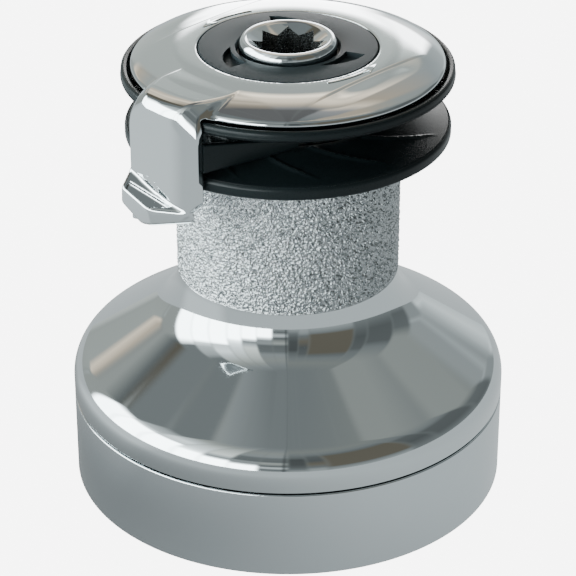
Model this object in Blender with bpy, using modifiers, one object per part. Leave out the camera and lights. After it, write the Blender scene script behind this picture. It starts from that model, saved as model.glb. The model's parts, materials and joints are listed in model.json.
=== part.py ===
"""Two-speed self-tailing sailboat winch, one object for each of its separate parts.

Metres, +Z up. The origin is the centre of the base's underside, on the drum's axis.
The feeder arm is at -Y. Lengths below are in millimetres and are scaled once, by MM.
"""

import math

import bmesh
import bpy
from mathutils import Matrix

MM = 0.001
GAP = 0.3
SIDES = 40

# Base and stem
BASE_R = 78.5
BASE_TOP = 33.0
BASE_WALL = 3.0
FLOOR_TOP = 5.5
POST_CIRCLE_R = 45.0
POST_ANGLES = (20, 160, 215, 325)
POST_R = 6.0
DECK_HOLE_CIRCLE_R = 62.0
DECK_HOLE_R = 3.3
DECK_HOLES = 5
BASE_BORE_R = 11.3
BOSS_R = 7.5
STEM_SCREW_R = 2.8
FLANGE_R = 52.0
FLANGE_Z = 36.3
FLANGE_TOP = 41.0
STEM_R = 27.9
STEM_NECK_R = 24.0
STEM_STEP_Z = 126.0
STEM_TOP = 162.5
STEM_BORE_R = 11.6
STEM_SOCKET_BORE_R = 16.7
STEM_BORE_STEP_Z = 118.0
GROOVE_R = 22.0
GROOVE_Z = 154.4
GROOVE_TOP = 157.1
COLLET_R = 28.2
COLLET_HALF = 88
RING_BORE_R = 28.3

# Drum
DRUM_BOTTOM = 33.7
BARREL_R = 39.7
BARREL_TOP = 127.0
DRUM_BORE_R = 33.2
HUB_R = 34.5
HUB_BORE_R = 28.6
HUB_TOP = 150.0
SKIRT_SHOULDER = (73.4, 49.2)
CONE_TOP = (49.2, 64.6)
FILLET_TOP_Z = 81.8
FILLET_R = 20.3
SHOULDER_R = 11.7
SHOULDER_Z = 39.1
SKIRT_BORE_R = 75.0
RING_WALL_R = 65.3
RING_SEAT_Z = 23.3
RING_SEAT_TOP = 34.3
WELL_R = 57.5
BEARING_SEAT_Z = 43.0

# Jaws
JAW_RIM_R = 57.0
JAW_RIM_TOP = 138.9
JAW_BORE_R = 34.9
JAW_SEAT_Z = 133.2
UPPER_RIM_R = 58.0
UPPER_RIM_Z = 156.3
UPPER_RIM_TOP = 159.9
JAW_SCREWS = 3
JAW_SCREW_CIRCLE_R = 31.6

# Cap and top nut
CAP_R = 54.6
NUT_R = 31.1
NUT_HOLE_R = 18.05
NUT_TOP = 166.0
NUT_RECESS_START = 30.5
NUT_RECESSES = 3

# Spindle
SPINDLE_TOP = 169.3
SPINDLE_HEAD_R = 17.04
SPINDLE_R = 16.4
SHAFT_R = 11.3
SHAFT_LOW_R = 7.9
SHAFT_FLAT = 6.7
SOCKET_FLATS = 17.7
SOCKET_FLOOR_Z = 124.0
SOCKET_TIP = 133.5

# Gears: teeth, module, height range
PRESSURE = math.radians(20)
ADDENDUM = 0.8
DEDENDUM = 1.15
RING_ADDENDUM = 0.6
BACKLASH = 0.34
GEAR_SPINDLE = (26, 2.0, 15.0, 23.0)
GEAR_IDLER = (12, 2.0, 15.0, 23.0)
GEAR_PINION = (12, 2.0, 15.0, 34.0)
GEAR_SLOW_SPINDLE = (18, 1.5, 6.5, 13.5)
GEAR_SLOW = (34, 1.5, 6.5, 13.5)
GEAR_SLOW_PINION = (17, 2.0, 24.0, 34.0)
GEAR_RING = (56, 2.0, 24.0, 34.0)
RING_OUTER_R = 60.0
LAYSHAFT_AXLE_R = 6.0
GEAR_AXLE_R = 5.0
AXLE_BOTTOM = 1.5
LAYSHAFT_ANGLE = math.radians(90)
PINION_ANGLE = math.radians(253.5)

# Ratchets
CARRIER_R = 16.4
RATCHET_R = 16.8
NOTCH_R = 20.2
NOTCHES = 8
PAWL_PIVOT_R = 13.5
PAWL_LENGTH = 8.0
PAWL_OUT = math.radians(22.8)
PAWL_RIDING = math.radians(-1.5)
PAWL_HUB_R = 2.0
PAWL_TIP_HALF = 1.2
RATCHET_FACE = math.radians(28.6)

# Roller bearings
ROLLER_R = 2.45
ROLLER_CIRCLE_R = 30.5
ROLLERS = 8
CAGE_LEVELS = (50.0, 106.0)
CAGE_HEIGHT = 16.0


def clear_scene():
    for obj in list(bpy.data.objects):
        bpy.data.objects.remove(obj, do_unlink=True)


def new_collection(name):
    made = bpy.data.collections.new(name)
    bpy.context.scene.collection.children.link(made)
    return made


def material(name, colour, roughness, metallic):
    made = bpy.data.materials.new(name)
    made.use_nodes = True
    shader = made.node_tree.nodes["Principled BSDF"]
    shader.inputs["Base Color"].default_value = (*colour, 1.0)
    shader.inputs["Roughness"].default_value = roughness
    shader.inputs["Metallic"].default_value = metallic
    return made


clear_scene()
PARTS = new_collection("sailboat_winch")
CUTTERS = new_collection("cutters")
CUTTERS.hide_render = True

CHROME = ((0.66, 0.69, 0.70), 0.08, 1.0)
STEEL = ((0.56, 0.57, 0.58), 0.25, 1.0)
BRONZE = ((0.66, 0.45, 0.24), 0.3, 1.0)
ALUMINIUM = ((0.62, 0.63, 0.64), 0.4, 1.0)
BLACK = ((0.012, 0.015, 0.016), 0.35, 0.0)
SLATE = ((0.07, 0.09, 0.10), 0.4, 0.0)
ACETAL = ((0.75, 0.74, 0.70), 0.5, 0.0)


def place(name, data, look=None, at=(0, 0, 0), turn=0.0):
    """Adds an object: a part when it has a look, and a cutter when it hasn't."""
    obj = bpy.data.objects.new(name, data)
    obj.location = [v * MM for v in at]
    obj.rotation_euler.z = turn
    if look:
        PARTS.objects.link(obj)
        data.materials.clear()
        data.materials.append(material(name, *look))
    else:
        CUTTERS.objects.link(obj)
        obj.hide_render = True
        obj.display_type = "WIRE"
    return obj


def turned(name, profile, look, sides=SIDES):
    """A turned shape: (radius, height) points that run down the outer side.

    The profile is a closed loop, or an open one when it starts and ends on the axis.
    """
    mesh = bpy.data.meshes.new(name)
    count = len(profile)
    edges = [(i, i + 1) for i in range(count - 1)]
    if profile[0][0] > 0:
        edges.append((count - 1, 0))
    mesh.from_pydata([(r * MM, 0, z * MM) for r, z in profile], edges, [])
    obj = place(name, mesh, look)
    turn = obj.modifiers.new("turn", "SCREW")
    turn.steps = turn.render_steps = sides
    turn.use_merge_vertices = True
    turn.merge_threshold = 0.00001
    return obj


def extruded(name, outlines, z0, z1, look=None, at=(0, 0, 0), turn=0.0):
    """A flat outline with any holes, from height z0 to z1, as a mesh."""
    curve = bpy.data.curves.new(name, "CURVE")
    curve.dimensions = "2D"
    curve.fill_mode = "BOTH"
    curve.extrude = (z1 - z0) / 2 * MM
    for outline in outlines:
        spline = curve.splines.new("POLY")
        spline.points.add(len(outline) - 1)
        for point, (x, y) in zip(spline.points, outline):
            point.co = (x * MM, y * MM, 0, 1)
        spline.use_cyclic_u = True
    return meshed(curve, look, (at[0], at[1], at[2] + (z0 + z1) / 2), turn)


def meshed(curve, look=None, at=(0, 0, 0), turn=0.0):
    """The solid of a curve as a mesh object with its caps welded on."""
    guide = bpy.data.objects.new(curve.name, curve)
    bpy.context.scene.collection.objects.link(guide)
    graph = bpy.context.evaluated_depsgraph_get()
    mesh = bpy.data.meshes.new_from_object(guide.evaluated_get(graph))
    mesh.name = curve.name
    bpy.data.objects.remove(guide, do_unlink=True)
    shape = bmesh.new()
    shape.from_mesh(mesh)
    bmesh.ops.remove_doubles(shape, verts=shape.verts, dist=0.000001)
    bmesh.ops.recalc_face_normals(shape, faces=shape.faces)
    shape.to_mesh(mesh)
    shape.free()
    name = curve.name
    bpy.data.curves.remove(curve)
    return place(name, mesh, look, at, turn)


def cylinder(name, radius, z0, z1, look=None, at=(0, 0), sides=16):
    mesh = bpy.data.meshes.new(name)
    shape = bmesh.new()
    bmesh.ops.create_cone(
        shape, cap_ends=True, segments=sides, radius1=radius * MM, radius2=radius * MM, depth=(z1 - z0) * MM
    )
    shape.to_mesh(mesh)
    shape.free()
    return place(name, mesh, look, (at[0], at[1], (z0 + z1) / 2))


def box(name, size, centre, turn=0.0):
    mesh = bpy.data.meshes.new(name)
    shape = bmesh.new()
    bmesh.ops.create_cube(shape, size=1.0, matrix=Matrix.Diagonal([v * MM for v in size] + [1.0]))
    shape.to_mesh(mesh)
    shape.free()
    return place(name, mesh, None, centre, turn)


def combine(target, tool, operation="DIFFERENCE"):
    boolean = target.modifiers.new(tool.name, "BOOLEAN")
    boolean.operation = operation
    boolean.object = tool


def polar(radius, angle):
    return radius * math.cos(angle), radius * math.sin(angle)


def arc(centre, radius, start, end, count):
    """Points (radius, height) on an arc between two angles in degrees."""
    points = []
    for i in range(count + 1):
        angle = math.radians(start + (end - start) * i / count)
        points.append((centre[0] + radius * math.cos(angle), centre[1] + radius * math.sin(angle)))
    return points


def circle_points(radius, sides):
    return [polar(radius, 2 * math.pi * i / sides) for i in range(sides)]


def flatted_circle(radius, flat):
    """A circle cut by two flats, the drive shape of the spindle's lower end."""
    return [(max(-flat, min(flat, x)), y) for x, y in circle_points(radius, 20)]


# Gears


def involute(angle):
    return math.tan(angle) - angle


def half_width(teeth, module, radius, slack):
    """Half the angle of a tooth at a radius, with straight flanks below the base circle."""
    pitch = teeth * module / 2
    base = pitch * math.cos(PRESSURE)
    at_radius = involute(math.acos(base / max(radius, base)))
    return math.pi / (2 * teeth) - slack / 2 / pitch + involute(PRESSURE) - at_radius


def gear_outline(gear, phase):
    teeth, module = gear[:2]
    pitch = teeth * module / 2
    levels = (pitch - DEDENDUM * module, pitch + ADDENDUM * module)
    points = []
    for i in range(teeth):
        centre = phase + 2 * math.pi * i / teeth
        for radius in levels:
            points.append(polar(radius, centre - half_width(teeth, module, radius, BACKLASH / 2)))
        for radius in reversed(levels):
            points.append(polar(radius, centre + half_width(teeth, module, radius, BACKLASH / 2)))
    return points


def ring_outline(phase):
    """The inner outline of the ring gear: its spaces have the shape of outer teeth."""
    teeth, module = GEAR_RING[:2]
    pitch = teeth * module / 2
    levels = (pitch - RING_ADDENDUM * module, pitch + DEDENDUM * module)
    points = []
    for i in range(teeth):
        centre = phase + 2 * math.pi * i / teeth
        for radius in levels:
            points.append(polar(radius, centre - half_width(teeth, module, radius, -BACKLASH / 2)))
        for radius in reversed(levels):
            points.append(polar(radius, centre + half_width(teeth, module, radius, -BACKLASH / 2)))
    return points


def pitch_radius(gear):
    return gear[0] * gear[1] / 2


def meshing_phase(first, first_phase, second, direction):
    """The phase of an outer gear that meshes with another, seen from it in this direction."""
    return direction + math.pi - math.pi / second[0] + (direction - first_phase) * first[0] / second[0]


IDLER_R = pitch_radius(GEAR_SPINDLE) + pitch_radius(GEAR_IDLER)
PINION_R = pitch_radius(GEAR_RING) - pitch_radius(GEAR_PINION)
LAYSHAFT_R = pitch_radius(GEAR_RING) - pitch_radius(GEAR_SLOW_PINION)
IDLER_TO_PINION = pitch_radius(GEAR_IDLER) + pitch_radius(GEAR_PINION)
SPREAD = math.acos((IDLER_R**2 + PINION_R**2 - IDLER_TO_PINION**2) / (2 * IDLER_R * PINION_R))
IDLER_ANGLE = PINION_ANGLE + SPREAD
IDLER_AT = polar(IDLER_R, IDLER_ANGLE)
PINION_AT = polar(PINION_R, PINION_ANGLE)
LAYSHAFT_AT = polar(LAYSHAFT_R, LAYSHAFT_ANGLE)

IDLER_PHASE = meshing_phase(GEAR_SPINDLE, 0.0, GEAR_IDLER, IDLER_ANGLE)
ACROSS = math.atan2(PINION_AT[1] - IDLER_AT[1], PINION_AT[0] - IDLER_AT[0])
PINION_PHASE = meshing_phase(GEAR_IDLER, IDLER_PHASE, GEAR_PINION, ACROSS)
RING_PHASE = PINION_ANGLE - (PINION_ANGLE - PINION_PHASE) * GEAR_PINION[0] / GEAR_RING[0]
SLOW_PINION_PHASE = LAYSHAFT_ANGLE - (LAYSHAFT_ANGLE - RING_PHASE) * GEAR_RING[0] / GEAR_SLOW_PINION[0]
SLOW_PHASE = meshing_phase(GEAR_SLOW_SPINDLE, 0.0, GEAR_SLOW, LAYSHAFT_ANGLE)
AXLES = (
    ("layshaft", LAYSHAFT_AT, LAYSHAFT_AXLE_R),
    ("pinion", PINION_AT, GEAR_AXLE_R),
    ("idler", IDLER_AT, GEAR_AXLE_R),
)


def ratchet_outline(way, first_face):
    """Saw notches round a bore. A pawl that points the given way stops at each radial face."""
    points = []
    step = 2 * math.pi / NOTCHES
    for i in range(NOTCHES):
        face = first_face + way * i * step
        for radius, ahead in ((RATCHET_R, 0.0), (RATCHET_R, 0.18), (NOTCH_R, 0.73), (NOTCH_R, 1.0)):
            points.append(polar(radius, face + way * ahead * step))
    return points


def pawl_outline(tilt, way):
    """A pawl about its pivot: x points outwards and y along the rim."""
    along = (math.sin(tilt), math.cos(tilt))
    out = (math.cos(tilt), -math.sin(tilt))
    points = []
    for i in range(9):
        angle = math.radians(180 * i / 8)
        x = PAWL_HUB_R * math.cos(angle)
        y = -PAWL_HUB_R * math.sin(angle)
        points.append((x * out[0] + y * along[0], way * (x * out[1] + y * along[1])))
    for x, y in ((-PAWL_TIP_HALF, PAWL_LENGTH), (PAWL_TIP_HALF, PAWL_LENGTH)):
        points.append((x * out[0] + y * along[0], way * (x * out[1] + y * along[1])))
    return points


def cut_pawl_pocket(carrier, name, centre, angle, way, z0, z1):
    """The pocket holds the pawl's hub and lets its tip swing in below the rim."""
    outline = [(6.0, 4.4 * way)]
    hub = PAWL_HUB_R + 0.35
    for k in range(10):
        turn = math.radians(8 - 188 * k / 9)
        outline.append((hub * math.cos(turn), way * hub * math.sin(turn)))
    outline += [(-3.3, 9.4 * way), (6.0, 10.6 * way)]
    pivot = polar(PAWL_PIVOT_R, angle)
    spot = (centre[0] + pivot[0], centre[1] + pivot[1], 0)
    combine(carrier, extruded(name, [outline], z0, z1, at=spot, turn=angle))


def add_pawl(name, centre, angle, way, tilt, z0, z1):
    pivot = polar(PAWL_PIVOT_R, angle)
    spot = (centre[0] + pivot[0], centre[1] + pivot[1], 0)
    extruded(name, [pawl_outline(tilt, way)], z0, z1, STEEL, at=spot, turn=angle)


def build_base():
    base = turned(
        "base_housing",
        [
            (BASE_R - 0.6, BASE_TOP),
            (BASE_R, BASE_TOP - 0.6),
            (BASE_R, 0.8),
            (BASE_R - 0.8, 0.0),
            (BASE_BORE_R, 0.0),
            (BASE_BORE_R, FLOOR_TOP),
            (BASE_R - BASE_WALL, FLOOR_TOP),
            (BASE_R - BASE_WALL, BASE_TOP),
        ],
        CHROME,
        sides=48,
    )
    for i, angle in enumerate(POST_ANGLES):
        spot = polar(POST_CIRCLE_R, math.radians(angle))
        post = cylinder(f"post_{i}", POST_R, FLOOR_TOP - 1, FLANGE_Z - GAP, at=spot)
        combine(base, post, "UNION")
    for name, spot in (("pinion", PINION_AT), ("idler", IDLER_AT)):
        boss = cylinder(f"{name}_boss", BOSS_R, FLOOR_TOP - 1, GEAR_IDLER[2] - GAP, at=spot)
        combine(base, boss, "UNION")
    for i, angle in enumerate(POST_ANGLES):
        spot = polar(POST_CIRCLE_R, math.radians(angle))
        combine(base, cylinder(f"post_hole_{i}", STEM_SCREW_R + GAP, 19.5, 40.0, at=spot, sides=12))
    for name, spot, radius in AXLES:
        combine(base, cylinder(f"{name}_axle_hole", radius + GAP, AXLE_BOTTOM - GAP, 20.0, at=spot))
    for i in range(DECK_HOLES):
        spot = polar(DECK_HOLE_CIRCLE_R, math.radians(-90 + 360 / DECK_HOLES * i))
        combine(base, cylinder(f"deck_hole_{i}", DECK_HOLE_R, -2.0, 8.0, at=spot))


def build_stem():
    stem = turned(
        "centre_stem",
        [
            (STEM_SOCKET_BORE_R, STEM_TOP),
            (STEM_NECK_R - 0.6, STEM_TOP),
            (STEM_NECK_R, STEM_TOP - 0.6),
            (STEM_NECK_R, GROOVE_TOP),
            (GROOVE_R, GROOVE_TOP),
            (GROOVE_R, GROOVE_Z),
            (STEM_NECK_R, GROOVE_Z),
            (STEM_NECK_R, STEM_STEP_Z),
            (STEM_R, STEM_STEP_Z - 1.5),
            (STEM_R, FLANGE_TOP),
            (FLANGE_R, FLANGE_TOP),
            (FLANGE_R, FLANGE_Z),
            (STEM_BORE_R, FLANGE_Z),
            (STEM_BORE_R, STEM_BORE_STEP_Z),
            (STEM_SOCKET_BORE_R, STEM_BORE_STEP_Z),
        ],
        ALUMINIUM,
        sides=32,
    )
    for i, angle in enumerate(POST_ANGLES):
        spot = polar(POST_CIRCLE_R, math.radians(angle))
        combine(stem, cylinder(f"stem_hole_{i}", STEM_SCREW_R + 0.5, 34.0, 44.0, at=spot, sides=10))
        screw = cylinder(f"stem_screw_{i + 1}", STEM_SCREW_R, 20.0, FLANGE_TOP + 1.0, STEEL, at=spot, sides=8)
        head_r = STEM_SCREW_R + 2.2
        head = cylinder(f"stem_screw_head_{i}", head_r, FLANGE_TOP + GAP, FLANGE_TOP + 4.3, at=spot, sides=12)
        key = cylinder(f"stem_screw_key_{i}", 2.6, FLANGE_TOP + 2.0, FLANGE_TOP + 6.0, at=spot, sides=6)
        combine(screw, head, "UNION")
        combine(screw, key)
    for name, spot, radius in AXLES:
        combine(stem, cylinder(f"{name}_axle_seat", radius + GAP, FLANGE_Z - 2.3, FLANGE_TOP + 3.0, at=spot))
        cylinder(f"{name}_axle", radius, AXLE_BOTTOM, FLANGE_TOP - 0.4, STEEL, at=spot)
    bush_bore = SHAFT_LOW_R + GAP
    flange = [(12.5, FLOOR_TOP + 0.7), (12.5, FLOOR_TOP + GAP), (BASE_BORE_R - GAP, FLOOR_TOP + GAP)]
    sleeve = [(BASE_BORE_R - GAP, 0.6), (bush_bore, 0.6), (bush_bore, FLOOR_TOP + 0.7)]
    turned("spindle_bush", flange + sleeve, BRONZE, sides=20)
    washer_low = FLANGE_TOP + GAP
    washer_high = washer_low + 1.4
    ring = [(37.0, washer_high), (37.0, washer_low), (RING_BORE_R, washer_low), (RING_BORE_R, washer_high)]
    turned("thrust_washer", ring, ACETAL, sides=28)
    low = CAGE_LEVELS[0] + CAGE_HEIGHT + 0.5
    high = CAGE_LEVELS[1] - 0.5
    ring = [(30.6, high), (30.6, low), (RING_BORE_R, low), (RING_BORE_R, high)]
    turned("bearing_spacer", ring, ACETAL, sides=28)
    for i, middle in enumerate((0, 180)):
        turns = [math.radians(middle - COLLET_HALF + 2 * COLLET_HALF * k / 12) for k in range(13)]
        outline = [polar(COLLET_R, turn) for turn in turns]
        outline += [polar(GROOVE_R + GAP, turn) for turn in reversed(turns)]
        extruded(f"collet_{i + 1}", [outline], GROOVE_Z + GAP, GROOVE_TOP - GAP, STEEL)


def build_spindle():
    spindle = turned(
        "main_spindle",
        [
            (0.0, 166.2),
            (9.6, 166.2),
            (13.6, 168.7),
            (14.3, 169.2),
            (15.2, SPINDLE_TOP),
            (16.2, 168.8),
            (16.8, 167.8),
            (SPINDLE_HEAD_R, 166.2),
            (SPINDLE_HEAD_R, STEM_TOP + GAP),
            (SPINDLE_R, STEM_TOP + GAP),
            (SPINDLE_R, STEM_BORE_STEP_Z + GAP),
            (SHAFT_R, STEM_BORE_STEP_Z + GAP),
            (SHAFT_R, 24.5),
            (SHAFT_LOW_R, 24.5),
            (SHAFT_LOW_R, 1.2),
            (0.0, 1.2),
        ],
        CHROME,
        sides=32,
    )
    corner = SOCKET_FLATS / 2 * math.sqrt(2)
    valley = SOCKET_FLATS / 2 / math.cos(math.pi / 8)
    star = [polar(valley if k % 2 else corner, math.radians(SOCKET_TIP + 22.5 * k)) for k in range(16)]
    combine(spindle, extruded("socket_star", [star], SOCKET_FLOOR_Z, SPINDLE_TOP + 3))
    for side in (-1, 1):
        flat = box(f"spindle_flat_{side}", (4.0, 30.0, 18.9), (side * (SHAFT_FLAT + 2.0), 0, 15.05))
        combine(spindle, flat)

    bore = flatted_circle(SHAFT_LOW_R + GAP, SHAFT_FLAT + GAP)
    carrier = turned(
        "pawl_carrier",
        [(0.0, 24.2), (CARRIER_R, 24.2), (CARRIER_R, 14.7), (17.6, 14.7), (17.6, 13.9), (0.0, 13.9)],
        STEEL,
        sides=32,
    )
    combine(carrier, extruded("carrier_bore", [bore], 12.0, 26.0))
    for i in range(2):
        angle = math.pi * i
        cut_pawl_pocket(carrier, f"fast_pocket_{i}", (0, 0), angle, -1, 15.0, 26.0)
        add_pawl(f"first_speed_pawl_{i + 1}", (0, 0), angle, -1, PAWL_OUT, 15.3, 22.7)
    slow_outline = [gear_outline(GEAR_SLOW_SPINDLE, 0.0), bore]
    extruded("second_speed_drive_gear", slow_outline, *GEAR_SLOW_SPINDLE[2:], STEEL)
    fast_outline = [gear_outline(GEAR_SPINDLE, 0.0), ratchet_outline(-1, -RATCHET_FACE)]
    extruded("first_speed_gear", fast_outline, *GEAR_SPINDLE[2:], BRONZE)


def build_gear_train():
    for name, gear, phase, spot in (
        ("idler_gear", GEAR_IDLER, IDLER_PHASE, IDLER_AT),
        ("first_speed_pinion", GEAR_PINION, PINION_PHASE, PINION_AT),
    ):
        outline = [gear_outline(gear, phase), circle_points(GEAR_AXLE_R + GAP, 16)]
        extruded(name, outline, *gear[2:], STEEL, at=(*spot, 0))
    ring = [circle_points(RING_OUTER_R, SIDES), ring_outline(RING_PHASE)]
    extruded("ring_gear", ring, *GEAR_RING[2:], BRONZE)

    z0, z1 = GEAR_SLOW[2:]
    spot = (*LAYSHAFT_AT, 0)
    gear = [gear_outline(GEAR_SLOW, SLOW_PHASE), ratchet_outline(1, LAYSHAFT_ANGLE + RATCHET_FACE)]
    extruded("second_speed_gear", gear, z0, z1, BRONZE, at=spot)
    teeth = gear_outline(GEAR_SLOW_PINION, SLOW_PINION_PHASE)
    pinion = extruded("second_speed_pinion", [teeth], *GEAR_SLOW_PINION[2:], STEEL, at=spot)
    combine(pinion, cylinder("slow_neck", 10.5, z1 - 1, 25.0, at=LAYSHAFT_AT, sides=20), "UNION")
    combine(pinion, cylinder("slow_hub", CARRIER_R, 6.1, z1, at=LAYSHAFT_AT, sides=28), "UNION")
    combine(pinion, cylinder("slow_bore", LAYSHAFT_AXLE_R + GAP, 4.0, 36.0, at=LAYSHAFT_AT))
    for i in range(2):
        angle = LAYSHAFT_ANGLE + math.pi * i
        cut_pawl_pocket(pinion, f"slow_pocket_{i}", LAYSHAFT_AT, angle, 1, 6.9, z1 + 0.5)
        add_pawl(f"second_speed_pawl_{i + 1}", LAYSHAFT_AT, angle, 1, PAWL_RIDING, 7.2, 13.2)


def drum_profile():
    """The drum from the top of its hub down the outside, then up the inside."""
    cone = math.atan2(CONE_TOP[1] - SKIRT_SHOULDER[1], CONE_TOP[0] - SKIRT_SHOULDER[0])
    normal = math.degrees(cone) - 90
    points = [(HUB_BORE_R, HUB_TOP), (HUB_R, HUB_TOP), (HUB_R, BARREL_TOP), (BARREL_R - 0.8, BARREL_TOP)]
    points.append((BARREL_R, BARREL_TOP - 0.8))
    points += arc((BARREL_R + FILLET_R, FILLET_TOP_Z), FILLET_R, 180, 180 + normal, 4)
    points += arc((BASE_R - SHOULDER_R, SHOULDER_Z), SHOULDER_R, normal, 0, 4)
    points += [(BASE_R, DRUM_BOTTOM + 0.5), (BASE_R - 0.5, DRUM_BOTTOM)]
    points += [(SKIRT_BORE_R, DRUM_BOTTOM), (SKIRT_BORE_R, 40.0), (71.0, 45.8), (RING_WALL_R, 47.5)]
    points += [(RING_WALL_R, RING_SEAT_Z), (RING_OUTER_R + GAP, RING_SEAT_Z)]
    points += [(RING_OUTER_R + GAP, RING_SEAT_TOP), (WELL_R, RING_SEAT_TOP), (WELL_R, 52.0), (49.5, 57.0)]
    points += [(39.0, 57.0), (38.0, BEARING_SEAT_Z), (DRUM_BORE_R, BEARING_SEAT_Z)]
    points += [(DRUM_BORE_R, STEM_STEP_Z + 0.5), (HUB_BORE_R, STEM_STEP_Z + 0.5)]
    return points


def build_drum():
    drum = turned("drum", drum_profile(), CHROME)
    for i in range(JAW_SCREWS):
        spot = polar(JAW_SCREW_CIRCLE_R, math.radians(30 + 120 * i))
        combine(drum, cylinder(f"hub_hole_{i}", 1.5, 143.5, 152.0, at=spot, sides=12))


def build_bearings():
    for level, low in enumerate(CAGE_LEVELS, 1):
        high = low + CAGE_HEIGHT
        name = f"roller_cage_{level}"
        cage = turned(name, [(31.7, high), (31.7, low), (29.3, low), (29.3, high)], ACETAL, sides=24)
        for i in range(ROLLERS):
            angle = 2 * math.pi * (i + 0.5) / ROLLERS
            spot = polar(ROLLER_CIRCLE_R, angle)
            size = (6.0, 2 * (ROLLER_R + 0.35), CAGE_HEIGHT - 3.4)
            combine(cage, box(f"{name}_window_{i}", size, (*spot, low + CAGE_HEIGHT / 2), turn=angle))
            cylinder(f"roller_{level}_{i + 1}", ROLLER_R, low + 2.0, high - 2.0, STEEL, at=spot, sides=10)


def build_jaws():
    turned(
        "lower_jaw",
        [
            (JAW_BORE_R, 144.6),
            (38.0, 144.6),
            (JAW_RIM_R - 1.2, JAW_RIM_TOP + 0.3),
            (JAW_RIM_R - 0.3, JAW_RIM_TOP - 0.2),
            (JAW_RIM_R, JAW_RIM_TOP - 1.0),
            (JAW_RIM_R - 0.2, 135.2),
            (JAW_RIM_R - 1.0, 134.4),
            (41.0, JAW_SEAT_Z),
            (JAW_BORE_R, JAW_SEAT_Z),
        ],
        BLACK,
    )
    upper = turned(
        "upper_jaw",
        [
            (25.0, 153.9),
            (38.0, 153.9),
            (54.8, 157.6),
            (55.4, UPPER_RIM_TOP - 0.3),
            (56.0, UPPER_RIM_TOP),
            (UPPER_RIM_R - 0.5, UPPER_RIM_TOP),
            (UPPER_RIM_R, UPPER_RIM_TOP - 0.6),
            (UPPER_RIM_R, UPPER_RIM_Z + 0.7),
            (UPPER_RIM_R - 0.7, UPPER_RIM_Z),
            (37.0, HUB_TOP + GAP),
            (25.0, HUB_TOP + GAP),
        ],
        BLACK,
    )
    for i in range(JAW_SCREWS):
        spot = polar(JAW_SCREW_CIRCLE_R, math.radians(30 + 120 * i))
        combine(upper, cylinder(f"jaw_hole_{i}", 1.7, 149.0, 155.0, at=spot, sides=12))
        combine(upper, cylinder(f"jaw_sink_{i}", 3.0, 152.2, 155.0, at=spot, sides=16))
        screw = cylinder(f"jaw_screw_{i + 1}", 1.2, 144.0, 153.0, STEEL, at=spot, sides=10)
        combine(screw, cylinder(f"jaw_screw_head_{i}", 2.6, 152.5, 153.8, at=spot, sides=14), "UNION")
    build_wave_spring()


def build_wave_spring():
    """One closed wire ring with three waves, which presses the lower jaw up."""
    waves = 3
    count = 30
    curve = bpy.data.curves.new("jaw_wave_spring", "CURVE")
    curve.dimensions = "3D"
    curve.bevel_depth = 0.7 * MM
    curve.bevel_resolution = 1
    spline = curve.splines.new("POLY")
    spline.points.add(count - 1)
    for i, point in enumerate(spline.points):
        angle = 2 * math.pi * i / count
        x, y = polar(37.1, angle)
        point.co = (x * MM, y * MM, (130.1 + 2.1 * math.cos(waves * angle)) * MM, 1)
    spline.use_cyclic_u = True
    meshed(curve, STEEL)


def arm_section(z, lean):
    """The arm's plan outline at a height: two outer facets that follow the jaws' rims."""
    outer = [(-14.0, 61.8), (4.5, 62.3), (16.0, 59.4)]
    inner = [(15.6, 56.9), (4.5, 58.9), (-14.0, 59.3)]
    return [(x, -(y + lean), z) for x, y in outer + inner]


def loft(name, sections):
    """A solid between outlines of equal count, one above the other."""
    mesh = bpy.data.meshes.new(name)
    shape = bmesh.new()
    rings = [[shape.verts.new([v * MM for v in point]) for point in section] for section in sections]
    count = len(sections[0])
    for low, high in zip(rings, rings[1:]):
        for i in range(count):
            k = (i + 1) % count
            shape.faces.new((low[i], low[k], high[k], high[i]))
    shape.faces.new(rings[0])
    shape.faces.new(rings[-1])
    bmesh.ops.recalc_face_normals(shape, faces=shape.faces)
    shape.to_mesh(mesh)
    shape.free()
    return place(name, mesh)


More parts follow.
